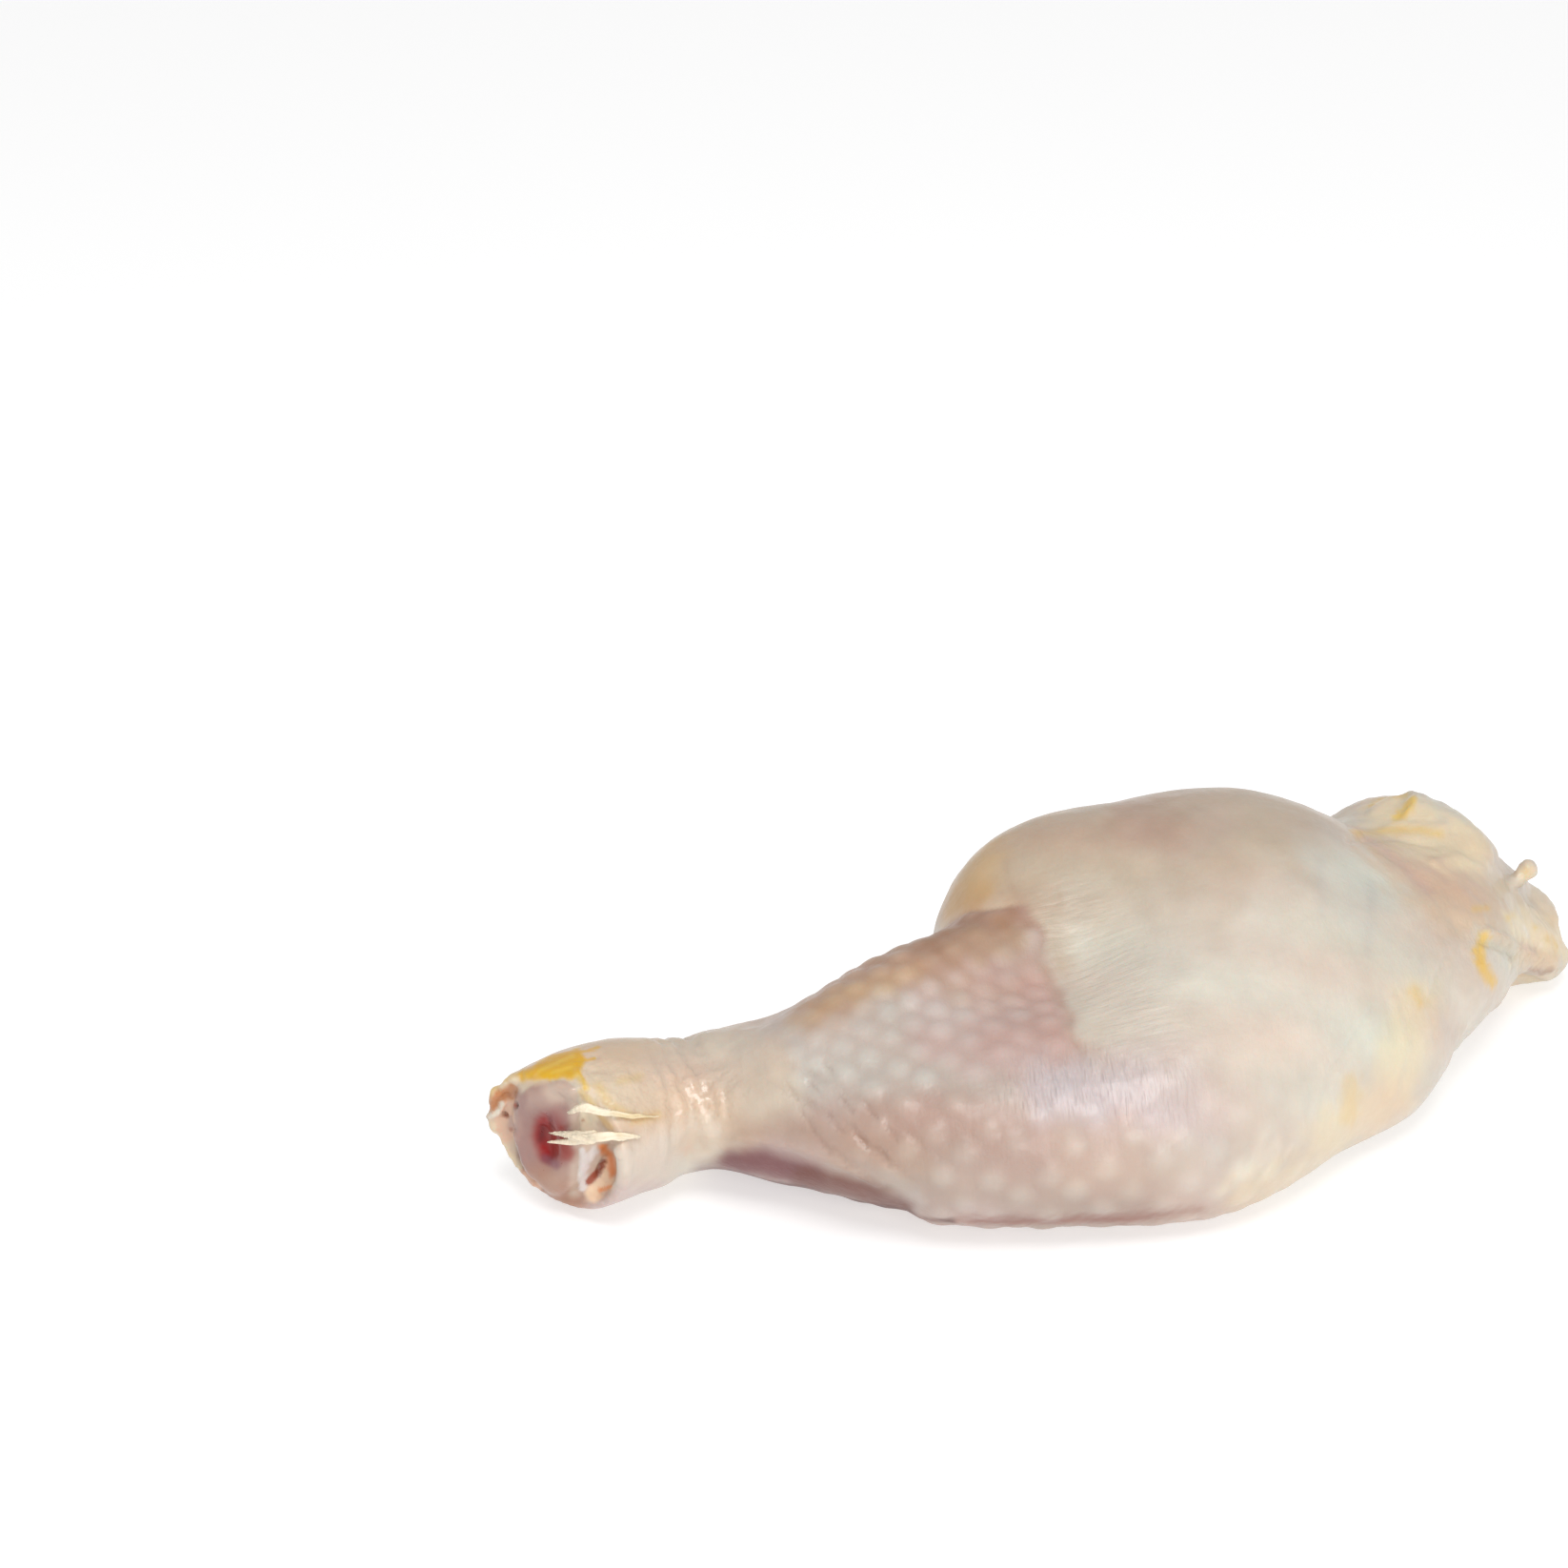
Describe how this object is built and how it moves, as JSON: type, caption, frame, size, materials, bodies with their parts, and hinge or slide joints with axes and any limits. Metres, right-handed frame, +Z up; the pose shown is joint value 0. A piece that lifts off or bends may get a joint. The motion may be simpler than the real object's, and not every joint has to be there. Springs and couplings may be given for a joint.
{
  "type": "raw chicken leg",
  "caption": "Raw whole chicken leg, drumstick and thigh in one piece with the skin on, cut across at the hock with the bone's end showing, lying on its side.",
  "frame": {"origin": "middle of the bounding box's base, on the surface that the leg lies on", "axes": "+X from the cut hock towards the loose skin of the hip end, +Y from the calf and thigh towards the knee, +Z up"},
  "size_m": [0.2174, 0.0934, 0.0515],
  "materials": {
    "skin": "wet raw chicken skin, pale pinkish cream with raised follicles, glossy",
    "cartilage": "wet bone end with a smooth pinkish grey cap of cartilage, glossy",
    "tendon": "wet torn tendon, pale cream, slightly fibrous"
  },
  "bodies": {
    "root": {"leg": "skin", "bone": "cartilage", "tendon_upper": "tendon", "tendon_lower": "tendon"}
  },
  "joints": []
}
